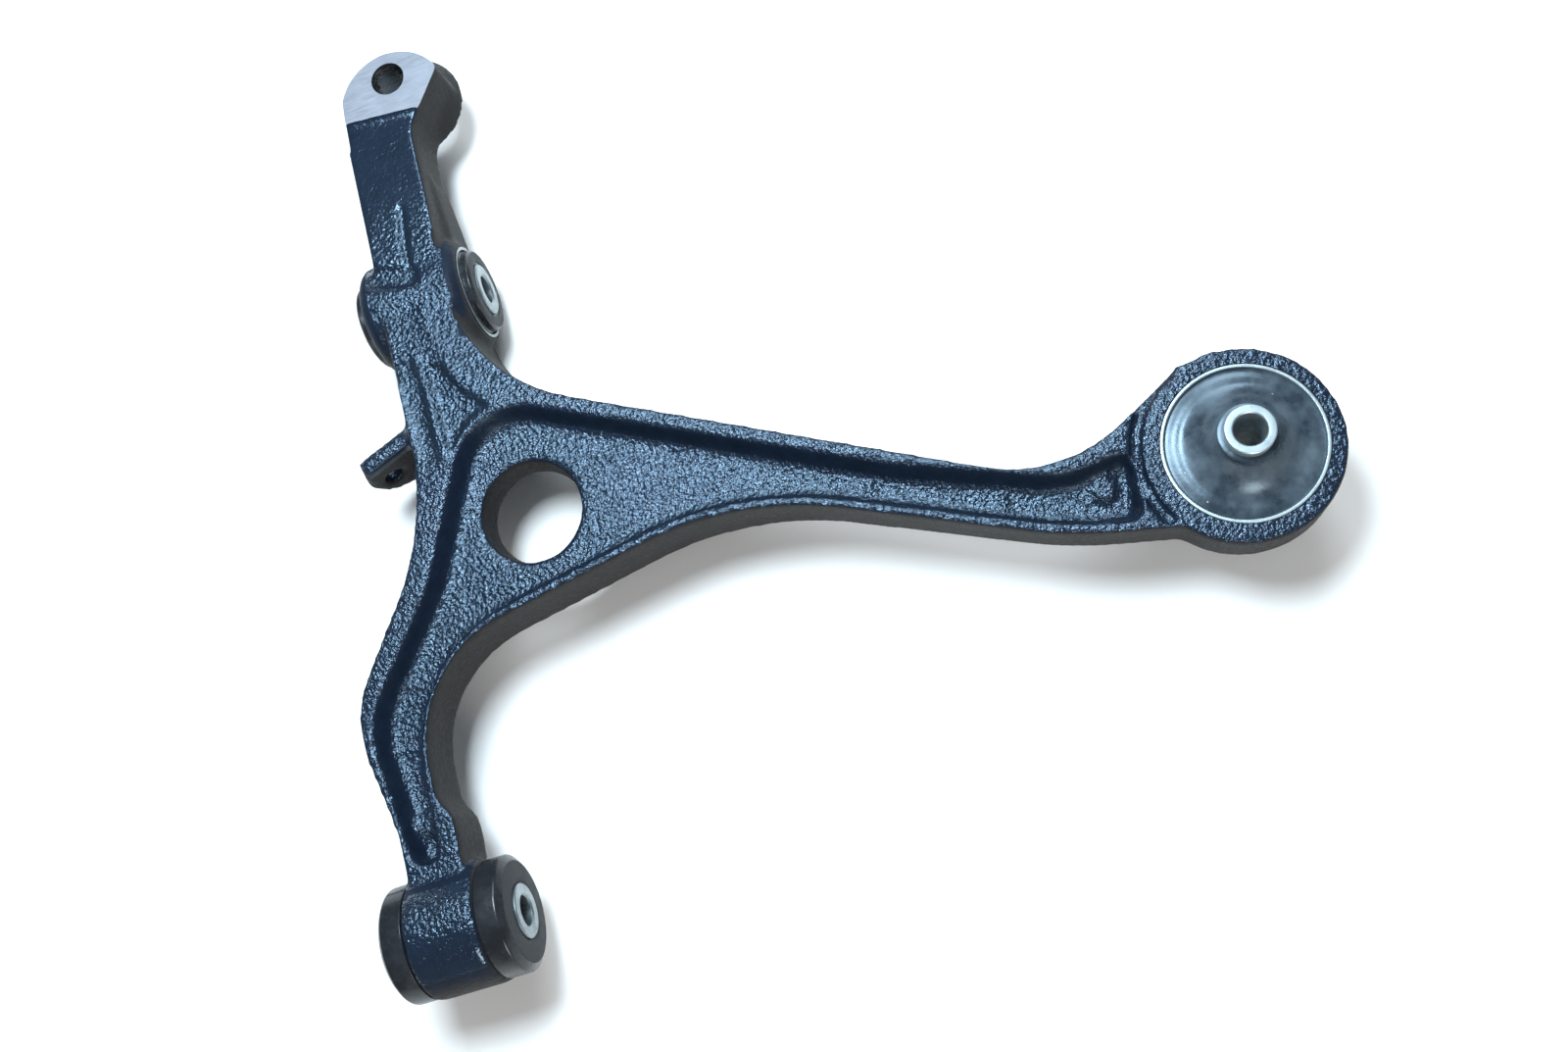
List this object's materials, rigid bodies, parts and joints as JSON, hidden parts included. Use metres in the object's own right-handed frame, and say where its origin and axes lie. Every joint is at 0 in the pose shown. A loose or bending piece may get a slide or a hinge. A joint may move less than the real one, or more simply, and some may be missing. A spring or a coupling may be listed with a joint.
{
  "type": "lower control arm",
  "caption": "Cast lower control arm with a tapered ball-joint hole, two cross-bolted rubber bushes and one upright liquid-filled bush.",
  "frame": {"origin": "centre of the pivot bush, on its bolt axis, midway between its end faces", "axes": "+X along the pivot bush's bolt towards the compliance bush side, +Y towards the ball-joint end, +Z out of the face with the visible pocket, parallel to the compliance bush's bolt"},
  "size_m": [0.4115, 0.419, 0.0685],
  "materials": {
    "painted_casting": "glossy dark blue-black paint over rough cast iron",
    "zinc_sleeve": "zinc-plated steel, satin",
    "black_rubber": "black rubber, moulded, slightly glossy",
    "bush_rubber": "grey-black rubber, satin bloom",
    "orifice_plastic": "moulded nylon",
    "stop_plastic": "glass-filled nylon"
  },
  "bodies": {
    "arm": {"arm_casting": "painted_casting", "pivot_outer_sleeve": "zinc_sleeve", "pivot_rubber": "black_rubber", "fork_outer_sleeve": "zinc_sleeve", "fork_rubber": "black_rubber", "compliance_outer_sleeve": "zinc_sleeve", "compliance_window_sleeve": "zinc_sleeve", "compliance_rubber": "bush_rubber", "compliance_orifice_half_inner": "orifice_plastic", "compliance_orifice_half_outer": "orifice_plastic"},
    "pivot_core": {"pivot_inner_sleeve": "zinc_sleeve"},
    "fork_core": {"fork_inner_sleeve": "zinc_sleeve"},
    "compliance_core": {"compliance_inner_sleeve": "zinc_sleeve", "compliance_bump_stop": "stop_plastic"}
  },
  "joints": [
    {"name": "pivot_twist", "type": "hinge", "parent": "arm", "child": "pivot_core", "pos_m": [0, 0, 0], "axis": [1, 0, 0], "range_deg": [-20, 20], "stiffness_Nm_per_rad": 90},
    {"name": "fork_twist", "type": "hinge", "parent": "arm", "child": "fork_core", "pos_m": [0.041, 0.267, -0.011], "axis": [1, 0, 0], "range_deg": [-20, 20], "stiffness_Nm_per_rad": 80},
    {"name": "compliance_tilt", "type": "hinge", "parent": "arm", "child": "compliance_core", "pos_m": [0.347, 0.0883, -0.004], "axis": [0.9691, 0.2466, 0], "range_deg": [-10, 10], "stiffness_Nm_per_rad": 140, "deforming": ["compliance_rubber"]}
  ]
}
